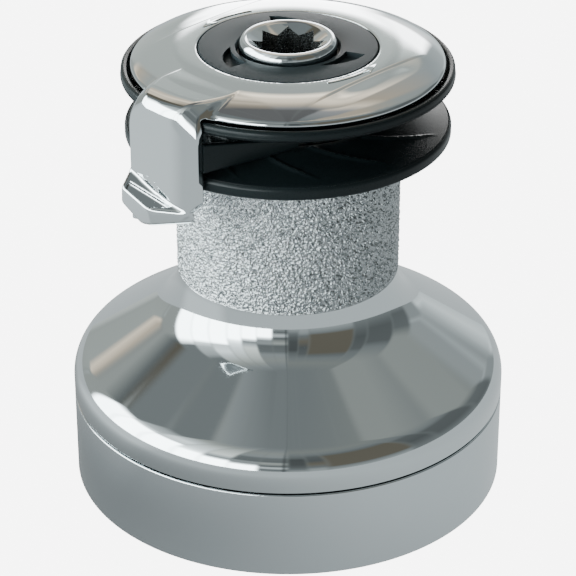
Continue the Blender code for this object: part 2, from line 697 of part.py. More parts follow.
def build_cap():
    cap = turned(
        "feeder_cap",
        [
            (NUT_R + GAP, 165.6),
            (NUT_R + 1.0, 166.0),
            (38.0, 165.8),
            (44.0, 165.2),
            (49.0, 164.0),
            (52.6, 162.5),
            (CAP_R, 161.0),
            (CAP_R - 0.2, 160.3),
            (52.8, 160.2),
            (49.5, 161.3),
            (45.0, 162.2),
            (34.5, 162.6),
            (33.5, 157.3),
            (STEM_NECK_R + GAP, 157.3),
            (STEM_NECK_R + GAP, 159.9),
            (NUT_R + GAP, 159.9),
        ],
        CHROME,
    )
    tab = loft(
        "arm_tab",
        [
            [(-17.7, -36.0, 163.0), (17.7, -36.0, 163.0), (17.7, -36.0, 165.5), (-17.7, -36.0, 165.5)],
            [(-13.0, -50.0, 160.8), (14.5, -50.0, 160.8), (12.6, -50.0, 165.6), (-12.4, -50.0, 165.6)],
            [(-13.8, -58.9, 160.8), (15.6, -57.4, 160.8), (9.6, -58.2, 165.5), (-9.6, -58.2, 165.5)],
            [(-14.0, -61.2, 160.8), (16.0, -59.0, 160.8), (10.5, -60.6, 164.6), (-10.5, -60.8, 164.6)],
            [(-14.0, -61.8, 160.8), (16.0, -59.4, 160.8), (12.5, -60.9, 162.6), (-12.6, -61.8, 162.6)],
        ],
    )
    combine(cap, tab, "UNION")
    plate = loft(
        "arm_plate",
        [arm_section(162.0, 0.0), arm_section(140.0, 0.0), arm_section(131.0, 0.3), arm_section(121.5, 0.6)],
    )
    combine(cap, plate, "UNION")
    foot = loft(
        "arm_foot",
        [
            [(-14.9, -60.0, 134.9), (8.7, -60.0, 127.6), (8.7, -62.4, 127.1), (-14.9, -62.4, 134.4)],
            [(-15.0, -60.0, 131.5), (9.4, -60.0, 124.5), (9.4, -64.0, 124.0), (-15.4, -67.6, 131.0)],
            [(-12.5, -60.0, 128.0), (9.4, -60.0, 121.5), (9.0, -64.0, 121.0), (-12.5, -68.6, 127.0)],
            [(-9.0, -60.0, 122.0), (8.0, -60.0, 119.0), (7.6, -62.6, 118.6), (-8.0, -66.0, 120.4)],
        ],
    )
    combine(cap, foot, "UNION")


def build_nut():
    """The nut that holds the cap, with a ring of comma-shaped recesses for its key."""
    nut = turned(
        "top_nut",
        [
            (NUT_HOLE_R, NUT_TOP - 0.3),
            (NUT_HOLE_R + 0.3, NUT_TOP),
            (NUT_R - 0.4, NUT_TOP),
            (NUT_R, NUT_TOP - 0.4),
            (NUT_R, 160.2),
            (STEM_NECK_R + GAP, 160.2),
            (STEM_NECK_R + GAP, STEM_TOP + GAP),
            (NUT_HOLE_R, STEM_TOP + GAP),
        ],
        SLATE,
    )
    parts = [k / 7 for k in range(8)]
    for i in range(NUT_RECESSES):
        start = math.radians(NUT_RECESS_START + 360 / NUT_RECESSES * i)
        outline = [polar(26.8 - 6.4 * part**1.3, start - math.radians(2 + 38 * part)) for part in parts]
        outline += [polar(20.4 - 0.6 * part, start - math.radians(40 * part)) for part in reversed(parts)]
        combine(nut, extruded(f"nut_recess_{i}", [outline], NUT_TOP - 1.3, NUT_TOP + 2))


def build_stripper():
    """A blade that fills the groove between the jaws and leads the line out to the arm."""
    outer = (15.0, -56.6)
    inner = (28.6, -25.4)
    length = math.dist(outer, inner)
    angle = math.atan2(inner[1] - outer[1], inner[0] - outer[0])
    outline = [(0.0, 142.6), (length, 145.6), (length, 149.0), (0.0, 152.8)]
    blade = extruded("line_stripper", [outline], -1.2, 1.2, BLACK)
    blade.rotation_euler = (math.pi / 2, 0, angle)
    blade.location = (outer[0] * MM, outer[1] * MM, 0)


def shade():
    for obj in PARTS.objects:
        if obj.type == "MESH":
            obj.data.shade_smooth()


def main():
    build_base()
    build_stem()
    build_spindle()
    build_gear_train()
    build_drum()
    build_bearings()
    build_jaws()
    build_cap()
    build_nut()
    build_stripper()
    shade()


main()
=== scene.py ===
"""The looks of a two-speed self-tailing winch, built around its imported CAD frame.

Everything is in metres. Lengths in the tables of profiles are in millimetres and are
scaled by MM. Azimuths are measured from -Y (the feeder arm) towards +X.
"""

import json
import math

import bmesh
import bpy
import numpy as np
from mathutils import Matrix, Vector, noise


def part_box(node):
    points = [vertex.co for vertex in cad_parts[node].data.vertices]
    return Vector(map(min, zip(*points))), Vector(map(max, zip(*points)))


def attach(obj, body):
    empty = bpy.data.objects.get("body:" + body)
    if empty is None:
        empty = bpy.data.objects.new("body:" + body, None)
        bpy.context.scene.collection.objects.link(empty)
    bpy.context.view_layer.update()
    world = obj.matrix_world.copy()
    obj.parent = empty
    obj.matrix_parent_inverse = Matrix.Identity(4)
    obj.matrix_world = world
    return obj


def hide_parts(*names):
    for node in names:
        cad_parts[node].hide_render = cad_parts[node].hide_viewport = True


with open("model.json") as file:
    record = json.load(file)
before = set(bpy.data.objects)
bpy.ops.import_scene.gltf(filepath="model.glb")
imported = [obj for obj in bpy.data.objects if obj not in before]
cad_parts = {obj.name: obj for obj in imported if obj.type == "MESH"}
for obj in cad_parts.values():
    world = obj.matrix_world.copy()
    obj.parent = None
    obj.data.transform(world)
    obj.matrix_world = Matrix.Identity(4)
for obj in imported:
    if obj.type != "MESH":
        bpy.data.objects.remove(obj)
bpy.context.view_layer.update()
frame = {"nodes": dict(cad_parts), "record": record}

MM = 0.001
SEGMENTS = 288

# Radii and heights of the CAD model
BASE_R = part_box("base_housing")[1].x / MM
BASE_TOP = 33.0
DRUM_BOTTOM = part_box("drum")[0].z / MM + 10.4
HUB_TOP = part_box("drum")[1].z / MM
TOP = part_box("main_spindle")[1].z / MM
STEM_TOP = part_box("centre_stem")[1].z / MM
NUT_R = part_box("top_nut")[1].x / MM
NUT_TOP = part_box("top_nut")[1].z / MM
BARREL_R = 39.7
BARREL_TOP = 127.0
BARREL_BOTTOM = 82.0
CAP_R = 54.6
CAP_CREST_Z = 166.0
CAMERA_AZIMUTH = 43.5


# Materials


def new_material(name):
    made = bpy.data.materials.new(name)
    made.use_nodes = True
    nodes = made.node_tree.nodes
    return made, nodes, made.node_tree.links, nodes["Principled BSDF"]


def object_noise(nodes, links, scale, detail=3.0, roughness=0.55):
    coords = nodes.new("ShaderNodeTexCoord")
    texture = nodes.new("ShaderNodeTexNoise")
    texture.inputs["Scale"].default_value = scale
    texture.inputs["Detail"].default_value = detail
    texture.inputs["Roughness"].default_value = roughness
    links.new(coords.outputs["Object"], texture.inputs["Vector"])
    return texture


def ramp_between(nodes, links, source, low, high):
    """Maps a 0 to 1 value to a range of roughness or strength."""
    mapped = nodes.new("ShaderNodeMapRange")
    mapped.inputs["From Min"].default_value = 0.3
    mapped.inputs["From Max"].default_value = 0.7
    mapped.inputs["To Min"].default_value = low
    mapped.inputs["To Max"].default_value = high
    links.new(source, mapped.inputs["Value"])
    return mapped.outputs["Result"]


def mix_colours(nodes, links, factor, first, second):
    mix = nodes.new("ShaderNodeMix")
    mix.data_type = "RGBA"
    mix.inputs[6].default_value = (*first, 1.0)
    mix.inputs[7].default_value = (*second, 1.0)
    links.new(factor, mix.inputs[0])
    return mix.outputs[2]


def bump(nodes, links, height, distance, strength=1.0):
    node = nodes.new("ShaderNodeBump")
    node.inputs["Distance"].default_value = distance
    node.inputs["Strength"].default_value = strength
    links.new(height, node.inputs["Height"])
    return node.outputs["Normal"]


def surface(name, colours, roughness, metallic, grain, grain_depth, ior=1.45):
    """A material with colour clouds, uneven gloss and a fine grain in relief."""
    made, nodes, links, shader = new_material(name)
    clouds = object_noise(nodes, links, 25.0)
    fine = object_noise(nodes, links, grain, detail=2.0)
    links.new(mix_colours(nodes, links, clouds.outputs["Fac"], *colours), shader.inputs["Base Color"])
    links.new(ramp_between(nodes, links, fine.outputs["Fac"], *roughness), shader.inputs["Roughness"])
    links.new(bump(nodes, links, fine.outputs["Fac"], grain_depth * MM), shader.inputs["Normal"])
    shader.inputs["Metallic"].default_value = metallic
    shader.inputs["IOR"].default_value = ior
    return made


CHROME = surface(
    "polished_chrome",
    ((0.60, 0.635, 0.65), (0.63, 0.66, 0.67)),
    (0.035, 0.06), 1.0, 900.0, 0.0006,
)
SATIN_CHROME = surface(
    "satin_chrome",
    ((0.58, 0.62, 0.64), (0.62, 0.65, 0.665)),
    (0.10, 0.20), 1.0, 2600.0, 0.006,
)
CRINKLE = surface(
    "crinkled_chrome",
    ((0.40, 0.425, 0.435), (0.49, 0.51, 0.52)),
    (0.10, 0.22), 1.0, 1900.0, 0.42,
)
BLACK = surface(
    "black_plastic",
    ((0.004, 0.007, 0.008), (0.007, 0.011, 0.012)),
    (0.26, 0.38), 0.0, 3000.0, 0.006, 1.28,
)
SLATE = surface(
    "slate_plastic",
    ((0.022, 0.029, 0.032), (0.029, 0.037, 0.040)),
    (0.30, 0.38), 0.0, 3600.0, 0.02, 1.1,
)
STEEL = surface(
    "machined_steel",
    ((0.50, 0.51, 0.52), (0.58, 0.59, 0.60)),
    (0.22, 0.38), 1.0, 1800.0, 0.01,
)
BARE_STEEL = surface(
    "bare_steel",
    ((0.46, 0.48, 0.48), (0.53, 0.55, 0.55)),
    (0.20, 0.30), 1.0, 1800.0, 0.01,
)
BRONZE = surface(
    "machined_bronze",
    ((0.55, 0.36, 0.18), (0.66, 0.46, 0.25)),
    (0.25, 0.4), 1.0, 1500.0, 0.012,
)
ALUMINIUM = surface(
    "cast_aluminium",
    ((0.55, 0.56, 0.57), (0.64, 0.65, 0.66)),
    (0.35, 0.5), 1.0, 1200.0, 0.02,
)
ACETAL = surface("acetal", ((0.68, 0.67, 0.63), (0.75, 0.74, 0.70)), (0.4, 0.55), 0.0, 1500.0, 0.01)
SLOT_LOOKS = {
    "chrome": CHROME,
    "black_plastic": BLACK,
    "slate_plastic": SLATE,
    "cast_aluminium": ALUMINIUM,
    "machined_steel": STEEL,
    "spring_steel": STEEL,
    "bronze": BRONZE,
    "acetal": ACETAL,
}


# Mesh tools


def add_piece(name, mesh, look, body, replaced=()):
    obj = bpy.data.objects.new(name, mesh)
    bpy.context.scene.collection.objects.link(obj)
    mesh.materials.clear()
    mesh.materials.append(look)
    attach(obj, body)
    if replaced:
        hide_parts(*replaced)
    return obj


def arc(centre, radius, start, end, count):
    """Points (radius, height) on an arc between two angles in degrees."""
    angles = np.radians(np.linspace(start, end, count + 1))
    return [(centre[0] + radius * math.cos(a), centre[1] + radius * math.sin(a)) for a in angles]


def rounded(points, radius, count=5):
    """A closed or open outline with its corners rounded, where the point says so.

    Each point is (radius, height) or (radius, height, corner radius).
    """
    made = []
    total = len(points)
    for i, point in enumerate(points):
        size = point[2] if len(point) > 2 else radius
        here = Vector(point[:2])
        before = Vector(points[i - 1][:2]) - here
        after = Vector(points[(i + 1) % total][:2]) - here
        reach = min(size, before.length * 0.45, after.length * 0.45)
        if reach < 0.02:
            made.append(tuple(here))
            continue
        first = here + before.normalized() * reach
        last = here + after.normalized() * reach
        for k in range(count + 1):
            t = k / count
            spot = first * (1 - t) ** 2 + here * 2 * t * (1 - t) + last * t**2
            made.append(tuple(spot))
    return made


def lathe(name, profile, segments=SEGMENTS, shift=None):
    """A turned mesh from a closed (radius, height) outline that runs down its outer side."""
    points = np.array(profile, float)
    angles = np.arange(segments) * (2 * math.pi / segments)
    r = np.repeat(points[:, :1], segments, 1)
    z = np.repeat(points[:, 1:2], segments, 1)
    a = np.repeat(angles[None, :], len(points), 0)
    if shift:
        r, z = shift(r, z, a)
    vertices = np.stack([r * np.cos(a), r * np.sin(a), z], -1).reshape(-1, 3) * MM
    rows = len(points)
    i, j = np.meshgrid(np.arange(rows), np.arange(segments), indexing="ij")
    ni = (i + 1) % rows
    nj = (j + 1) % segments
    faces = np.stack([i * segments + j, ni * segments + j, ni * segments + nj, i * segments + nj], -1)
    return mesh_from(name, vertices, faces.reshape(-1, 4))


def mesh_from(name, vertices, faces, normals=None):
    mesh = bpy.data.meshes.new(name)
    mesh.from_pydata([tuple(v) for v in vertices.tolist()], [], [tuple(f) for f in faces.tolist()])
    mesh.validate()
    mesh.shade_smooth()
    if normals is None:
        mesh.set_sharp_from_angle(angle=math.radians(38))
    else:
        mesh.normals_split_custom_set_from_vertices([tuple(n) for n in normals.tolist()])
    return mesh


def cut_with(obj, cutters):
    """Takes cutters away from a piece, and applies them and its other modifiers to its mesh."""
    for cutter in cutters:
        boolean = obj.modifiers.new("cut", "BOOLEAN")
        boolean.object = cutter
    graph = bpy.context.evaluated_depsgraph_get()
    mesh = bpy.data.meshes.new_from_object(obj.evaluated_get(graph))
    obj.modifiers.clear()
    obj.data = mesh
    for cutter in cutters:
        bpy.data.objects.remove(cutter, do_unlink=True)
    mesh.shade_smooth()
    mesh.set_sharp_from_angle(angle=math.radians(30))


def prism(outline, z0, z1):
    """A solid between two heights from a flat outline: a cutter, or an arrow."""
    shape = bmesh.new()
    low = [shape.verts.new((x * MM, y * MM, z0 * MM)) for x, y in outline]
    face = shape.faces.new(low)
    raised = bmesh.ops.extrude_face_region(shape, geom=[face])
    top = [v for v in raised["geom"] if isinstance(v, bmesh.types.BMVert)]
    bmesh.ops.translate(shape, verts=top, vec=(0, 0, (z1 - z0) * MM))
    bmesh.ops.recalc_face_normals(shape, faces=shape.faces)
    mesh = bpy.data.meshes.new("cutter")
    shape.to_mesh(mesh)
    shape.free()
    obj = bpy.data.objects.new("cutter", mesh)
    bpy.context.scene.collection.objects.link(obj)
    return obj


def circle(radius, centre=(0, 0), count=48):
    angles = np.arange(count) * (2 * math.pi / count)
    return [(centre[0] + radius * math.cos(a), centre[1] + radius * math.sin(a)) for a in angles]


def polar(radius, angle):
    return radius * math.cos(angle), radius * math.sin(angle)


def from_arm(radius, azimuth):
    """A plan point at an azimuth in degrees from the arm towards +X."""
    return polar(radius, math.radians(azimuth - 90))


# Base


def make_base():
    outline = [
        (BASE_R, BASE_TOP, 0.7),
        (BASE_R, 0.0, 0.9),
        (11.3, 0.0, 0.2),
        (11.3, 5.5, 0.2),
        (BASE_R - 3.0, 5.5, 1.5),
        (BASE_R - 3.0, BASE_TOP, 0.4),
    ]
    mesh = lathe("base_shell", rounded(outline, 0.3))
    base = add_piece("base_shell", mesh, SATIN_CHROME, "root", ["base_housing"])
    holes = [prism(circle(3.3, polar(62.0, math.radians(-90 + 72 * i))), -2, 8) for i in range(5)]
    cut_with(base, holes)


# Drum

GRIP_COLUMNS = 700
GRIP_ROWS = 130
GRIP_MARGIN = 0.3
GRIP_FADE = 0.5
GRIP_DEPTH = 0.72
RIDGE_SCALE = 1.05
RIDGE_STEEPNESS = 2.6
GRAIN_SCALE = 1.45
GRAIN_SHIFT = Vector((31.7, 8.1, 4.4))


def drum_outline():
    """The drum's section. The barrel's grip is a piece of its own, just outside this wall."""
    cone = math.degrees(math.atan2(64.6 - 49.2, 49.2 - 73.4))
    normal = cone - 90
    outline = [(28.6, HUB_TOP), (34.5, HUB_TOP), (34.5, BARREL_TOP), (BARREL_R - 0.55, BARREL_TOP)]
    outline += [(BARREL_R - 0.55, 82.4), (BARREL_R - 0.3, 82.2), (BARREL_R, 81.9)]
    outline += arc((BARREL_R + 20.3, 81.8), 20.3, 180, 180 + normal, 22)
    outline += arc((BASE_R - 11.7, 39.1), 11.7, normal, 0, 18)
    outline += [(BASE_R, DRUM_BOTTOM + 0.6), (BASE_R - 0.2, DRUM_BOTTOM + 0.15), (BASE_R - 0.6, DRUM_BOTTOM)]
    outline += [(75.0, DRUM_BOTTOM), (75.0, 40.0), (71.0, 45.8), (65.3, 47.5), (65.3, 23.3), (60.3, 23.3)]
    outline += [(60.3, 34.3), (57.5, 34.3), (57.5, 52.0), (49.5, 57.0), (39.0, 57.0), (38.0, 43.0)]
    outline += [(33.2, 43.0), (33.2, 126.5), (28.6, 126.5)]
    return outline


def crinkle_height(r, z, a):
    """Relief of the grip surface: short wrinkles that run in every direction."""
    flat = np.zeros(r.shape)
    for index in np.ndindex(r.shape):
        angle = a[index]
        spot = Vector((math.cos(angle) * BARREL_R, math.sin(angle) * BARREL_R, z[index]))
        ridge = 1 - abs(noise.noise(spot * RIDGE_SCALE)) * RIDGE_STEEPNESS
        flat[index] = 0.55 * ridge + 0.75 * noise.noise(spot * GRAIN_SCALE + GRAIN_SHIFT)
    return flat


def make_drum():
    shell = lathe("drum_shell", drum_outline())
    add_piece("drum_shell", shell, CHROME, "drum", ["drum"])

    top = BARREL_TOP - GRIP_MARGIN
    outline = [(BARREL_R - 0.5, BARREL_TOP - 0.1)]
    outline += [(BARREL_R, z) for z in np.linspace(top, BARREL_BOTTOM, GRIP_ROWS)]
    outline.append((BARREL_R - 0.5, BARREL_BOTTOM - 0.05))

    def shift(r, z, a):
        fade = np.clip(np.minimum(z - BARREL_BOTTOM, top - z) / GRIP_FADE, 0, 1)
        relief = crinkle_height(r, z, a) * GRIP_DEPTH - GRIP_DEPTH / 2
        on_wall = r > BARREL_R - 0.1
        return np.where(on_wall, r + relief * fade, r), z

    grip = lathe("barrel_grip", outline, GRIP_COLUMNS, shift)
    add_piece("barrel_grip", grip, CRINKLE, "drum")


# Jaws

RIB_COUNT = 12
RIB_LEAN = 0.62
RIB_HALF = 1.9
RIB_RISE = 0.75


def rib_field(r, a, count, lean, half):
    """How far into a curved rib a point is: 1 on the rib's crest, and 0 off it."""
    turn = a + lean * np.clip((57 - r) / 20, 0, 1.2) ** 1.3
    offset = (turn * count / (2 * math.pi)) % 1.0
    offset = np.minimum(offset, 1 - offset) * 2 * math.pi / count * r
    width = half * np.clip((56 - r) / 12, 0.15, 1)
    side = np.clip(1 - offset / width, 0, 1)
    return side * side * (3 - 2 * side)


def make_jaws():
    top = np.linspace(0, 1, 30)
    lower = [(34.9, 144.4)]
    lower += [(37.6 + t * 18.2, 144.6 - 5.2 * t - 0.5 * math.sin(math.pi * t)) for t in top]
    lower += rounded([(56.2, 139.4, 0.5), (57.0, 138.3, 0.7), (57.0, 135.2, 0.6), (56.1, 134.5, 0.6)], 0.4)
    lower += [(52.0, 134.1), (41.0, 133.2), (34.9, 133.2)]

    def lower_ribs(r, z, a):
        on_top = (z > 138.8) & (r > 36) & (r < 56)
        rise = rib_field(r, a, RIB_COUNT, RIB_LEAN, RIB_HALF) * np.clip((55.0 - r) / 7, 0, 1)
        return r, np.where(on_top, z + RIB_RISE * rise, z)

    mesh = lathe("lower_jaw_ring", lower, 420, lower_ribs)
    add_piece("lower_jaw_ring", mesh, BLACK, "lower_jaw", ["lower_jaw"])

    under = [(37.0 + t * 20.0, 150.3 + 5.7 * t + 0.35 * math.sin(math.pi * t)) for t in top[::-1]]
    upper = [(25.0, 153.9), (38.0, 153.9), (54.0, 157.0), (55.2, 158.4)]
    upper += rounded([(55.5, 159.7, 0.5), (57.0, 160.0, 0.6), (58.0, 159.0, 0.8)], 0.4)
    upper += [(57.75, 158.3), (57.72, 157.9)]
    upper += rounded([(58.0, 157.4, 0.4), (57.8, 156.3, 0.6)], 0.4) + under + [(25.0, 150.3)]

    def upper_ribs(r, z, a):
        below = (z < 156.2) & (r > 37.2) & (r < 56) & (z > 150.31)
        rise = rib_field(r, a, RIB_COUNT, RIB_LEAN, RIB_HALF) * np.clip((55.0 - r) / 7, 0, 1)
        return r, np.where(below, z - RIB_RISE * rise, z)

    mesh = lathe("upper_jaw_ring", upper, 420, upper_ribs)
    add_piece("upper_jaw_ring", mesh, BLACK, "drum", ["upper_jaw"])


# Cap and feeder arm: one smooth solid, found as the zero surface of a field


def soft_max(a, b, k):
    """The larger of two fields, with their meeting edge rounded over a width k."""
    h = np.clip(0.5 + 0.5 * (a - b) / k, 0, 1)
    return b * (1 - h) + a * h + k * h * (1 - h)


def soft_min(a, b, k):
    return -soft_max(-a, -b, k)


def cut_by(planes, p, k):
    """The space inside planes, each a point and an outward direction, with rounded edges."""
    field = None
    for spot, way in planes:
        n = np.array(way, float) / np.linalg.norm(way)
        side = (p[0] - spot[0]) * n[0] + (p[1] - spot[1]) * n[1] + (p[2] - spot[2]) * n[2]
        field = side if field is None else soft_max(field, side, k)
    return field


def smooth_step(value, low, high):
    t = np.clip((value - low) / (high - low), 0, 1)
    return t * t * (3 - 2 * t)


# Planes round the foot and its pocket, each a point and an outward direction: x, outwards, up
SHELF = (0.293, 0.417, 0.861)
LIP = (-0.067, 0.98, -0.2)
FOOT_SIDES = [
    ((-14.8, 61.9, 135.8), SHELF),
    ((-12.6, 68.2, 132.0), LIP),
    ((0.0, 67.9, 126.3), (0.544, 0.84, -0.15)),
    ((-14.9, 61.9, 135.8), (-0.896, 0.411, 0.163)),
    ((-10.0, 66.4, 122.2), (-0.5, 0.1, -0.86)),
    ((2.0, 65.8, 121.6), (0.25, 0.1, -0.96)),
]
POCKET_SIDES = [
    ((-14.8, 61.9, 134.5), [-part for part in SHELF]),
    ((-10.0, 67.2, 131.0), LIP),
    ((-11.5, 64.75, 132.6), (-0.147, -0.989, 0.0)),
    ((-12.0, 65.2, 132.6), (-0.87, 0.45, 0.2)),
    ((3.0, 64.2, 128.0), (0.61, 0.79, 0.0)),
]


# The arm: a tab that leaves the cap, and a plate that hangs from it. TAB_HALF is half the tab's
# width at TAB_END, its end's distance from the axis. The plate's face bends at BEND_AT.
CROWN_Z = 165.75
SHOULDER_SLOPE = math.radians(37)
TAB_HALF = 9.3
TAB_END = 58.2
TAB_TAPER = (17.7 - TAB_HALF) / (TAB_END - 36.0)
PLATE_FACE = 61.9
PLATE_BACK = 58.9
PLATE_RIGHT = 15.2
PLATE_LEFT = -14.7
BEND = (0.2445, 0.9697)
BEND_AT = 4.5
BULGE_AT = (-6.5, 128.6)
BULGE_R = 7.4
BULGE_RISE = 0.17

# The cap's hollow side: its hub and the floor that the nut clamps
HUB_R = 33.6
CAP_FLOOR = (157.3, 159.9)
CAP_BORE_R = 24.3


def cap_relief(x, y):
    """A straight crease on each side of the cap's top, with lower ground outside it."""
    relief = np.zeros(x.shape)
    for side in (1, -1):
        u = x * side
        v = y * side
        ends = smooth_step(v, -30, -16) * (1 - smooth_step(v, 14, 30))
        step = smooth_step(u, 36.7, 37.9)
        relief -= 0.42 * step * (1 - smooth_step(u, 38.5, 47.0)) * ends
    return relief


def cap_field(p):
    """Negative inside the cap and its arm. x points right of the arm and v outwards."""
    x, y, z = p
    v = -y
    r = np.hypot(x, y)
    fall = np.clip((r - NUT_R) / (CAP_R - NUT_R), 0, 1.4)
    top = CAP_CREST_Z - 4.5 * fall**3.1
    top = top + cap_relief(x, y) * smooth_step(r, NUT_R + 0.6, NUT_R + 1.4)
    under = 162.4 - 3.2 * np.clip((r - 42.0) / 12.6, 0, 1.4) ** 2
    dome = soft_max((z - top) * 0.82, (under - z) * 0.8, 0.5)
    dome = soft_max(dome, (r - CAP_R), 1.1)
    hub = soft_max(np.maximum(CAP_FLOOR[0] - z, z - 163.0), r - HUB_R, 0.4)
    cap = soft_min(dome, hub, 0.8)
    cap = soft_max(cap, NUT_R + 0.3 - r, 0.5)
    floor = np.maximum(CAP_FLOOR[0] - z, z - CAP_FLOOR[1])
    floor = np.maximum(floor, np.maximum(CAP_BORE_R - r, r - HUB_R + 0.6))
    cap = soft_min(cap, floor, 0.3)

    # The arm: a flat tab with a slope down each side, which turns down into a plate
    slope = (math.sin(SHOULDER_SLOPE), math.cos(SHOULDER_SLOPE))
    half = TAB_HALF + TAB_TAPER * (TAB_END - v)
    crown = z - CROWN_Z
    side_right = (x - half) * slope[0] + crown * slope[1]
    side_left = (-x - half - 0.6) * slope[0] + crown * slope[1]
    above = soft_max(crown, soft_max(side_right, side_left, 0.3), 0.75)

    # The plate's outer side has two facets with a soft bend, and a low bulge above the foot
    facet_left = (v - PLATE_FACE) * 0.9996 - (x + 14.0) * 0.0270
    facet_right = (x - BEND_AT) * BEND[0] + (v - PLATE_FACE - 0.45) * BEND[1]
    bulge = smooth_step(BULGE_R - np.hypot(x - BULGE_AT[0], z - BULGE_AT[1]), 0.0, 2.2)
    outer = soft_max(facet_left, facet_right, 1.8) - BULGE_RISE * bulge
    arm = soft_max(above, outer, 8.0)
    sides = soft_max(x - PLATE_RIGHT, PLATE_LEFT - x, 0.5)
    arm = soft_max(arm, sides, 0.8 + 1.4 * smooth_step(z, 155.0, 161.0))
    sole_left = (x - 6.6) * 0.25 - (z - 122.3) * 0.97
    sole_right = (x - 13.2) * 0.74 - (z - 128.7) * 0.67
    sole = soft_max(sole_left, sole_right, 4.0)
    arm = soft_max(arm, sole, 1.0)
    inner_right = BEND[0] * (BEND_AT - x) + BEND[1] * (PLATE_BACK - v)
    inner = soft_min(PLATE_BACK - v, inner_right, 0.8)
    arm = soft_max(arm, soft_min(inner, 160.9 - z, 1.5), 0.7)
    arm = soft_max(arm, 35.0 - v, 2.0)

    # The foot: a shelf that slopes down to a lip, with a shallow pocket in it
    q = (x, v, z)
    foot = cut_by(FOOT_SIDES, q, 1.2)
    foot = soft_max(foot, PLATE_BACK - v, 0.8)
    foot = soft_max(foot, -cut_by(POCKET_SIDES, q, 0.4), 0.35)
    arm = soft_min(arm, foot, 0.9)
    blend = 0.1 + 1.3 * smooth_step(v, 38.0, 48.0) + 1.6 * smooth_step(162.0 - z, 0.0, 1.5)
    return soft_min(cap, arm, blend)


def zero_surface(field, low, high, cell):
    """Surface nets: one vertex in each cell that the surface crosses, moved onto the surface."""
    counts = [int(math.ceil((high[i] - low[i]) / cell)) + 1 for i in range(3)]
    axes = [low[i] + cell * np.arange(counts[i]) for i in range(3)]
    grid = np.meshgrid(*axes, indexing="ij")
    inside = field([g.astype(np.float32) for g in grid]) < 0
    cells = [n - 1 for n in counts]
    some = np.zeros(cells, bool)
    every = np.ones(cells, bool)
    for dx in (0, 1):
        for dy in (0, 1):
            for dz in (0, 1):
                part = inside[dx : dx + cells[0], dy : dy + cells[1], dz : dz + cells[2]]
                some |= part
                every &= part
    crossed = some & ~every
    index = np.full(cells, -1, np.int64)
    index[crossed] = np.arange(crossed.sum())
    where = np.argwhere(crossed)
    vertices = np.array(low) + (where + 0.5) * cell

    faces = []
    for axis in range(3):
        first = [slice(None)] * 3
        second = [slice(None)] * 3
        first[axis] = slice(0, -1)
        second[axis] = slice(1, None)
        a = inside[tuple(first)]
        change = a != inside[tuple(second)]
        spots = np.argwhere(change)
        others = [k for k in range(3) if k != axis]
        ok = np.all(spots[:, others] > 0, 1) & np.all(spots[:, others] < np.array(cells)[others], 1)
        spots = spots[ok]
        corners = []
        for da, db in ((0, 0), (1, 0), (1, 1), (0, 1)):
            s = spots.copy()
            s[:, others[0]] -= da
            s[:, others[1]] -= db
            corners.append(index[s[:, 0], s[:, 1], s[:, 2]])
        quad = np.stack(corners, 1)
        flip = a[tuple(spots.T)] == (axis == 1)
        quad[flip] = quad[flip][:, ::-1]
        faces.append(quad)
    faces = np.concatenate(faces)

    def gradient(points, step=0.05):
        parts = []
        for axis in range(3):
            ahead = points.copy()
            behind = points.copy()
            ahead[:, axis] += step
            behind[:, axis] -= step
            parts.append((field(list(ahead.T)) - field(list(behind.T))) / (2 * step))
        return np.stack(parts, 1)

    start = vertices.copy()
    for _ in range(7):
        g = gradient(vertices)
        size = np.maximum((g**2).sum(1), 0.05)
        vertices = vertices - 0.8 * (field(list(vertices.T)) / size)[:, None] * g
        vertices = start + np.clip(vertices - start, -cell * 0.9, cell * 0.9)
    normals = gradient(vertices)
    normals /= np.maximum(np.linalg.norm(normals, axis=1, keepdims=True), 1e-9)
    return vertices, faces, normals


FINE_CELL = 0.52
CAP_LOW = (-57, -73, 115)
CAP_HIGH = (57, 57, 168.5)


def make_cap():
    cell = FINE_CELL
    vertices, faces, normals = zero_surface(cap_field, CAP_LOW, CAP_HIGH, cell)
    mesh = mesh_from("cap_and_feeder", vertices * MM, faces, normals)
    add_piece("cap_and_feeder", mesh, CHROME, "root", ["feeder_cap"])


def make_arrows():
    """Two raised arrows on the cap that show the way the drum turns."""
    middle = NUT_R + 2.9
    shaft = np.linspace(0.42, -0.10, 14)
    head = [(middle + 2.3, -0.05), (middle, -0.27), (middle - 1.9, -0.06)]
    outline = [polar(middle + 0.5, turn) for turn in shaft]
    outline += [polar(radius, turn) for radius, turn in head]
    outline += [polar(middle - 0.5, turn) for turn in shaft[::-1]]
    for index, side in enumerate((1, -1), 1):
        name = f"direction_arrow_{index}"
        solid = prism([(x * side, -y * side) for x, y in outline], CAP_CREST_Z - 0.6, CAP_CREST_Z + 0.32)
        bevel = solid.modifiers.new("edges", "BEVEL")
        bevel.width = 0.18 * MM
        bevel.segments = 2
        cut_with(solid, [])
        mesh = solid.data
        bpy.data.objects.remove(solid, do_unlink=True)
        add_piece(name, mesh, CHROME, "root")


# Top nut, spindle, stripper

RECESS_START = 77 + CAMERA_AZIMUTH
RECESS_DEPTH = 1.9


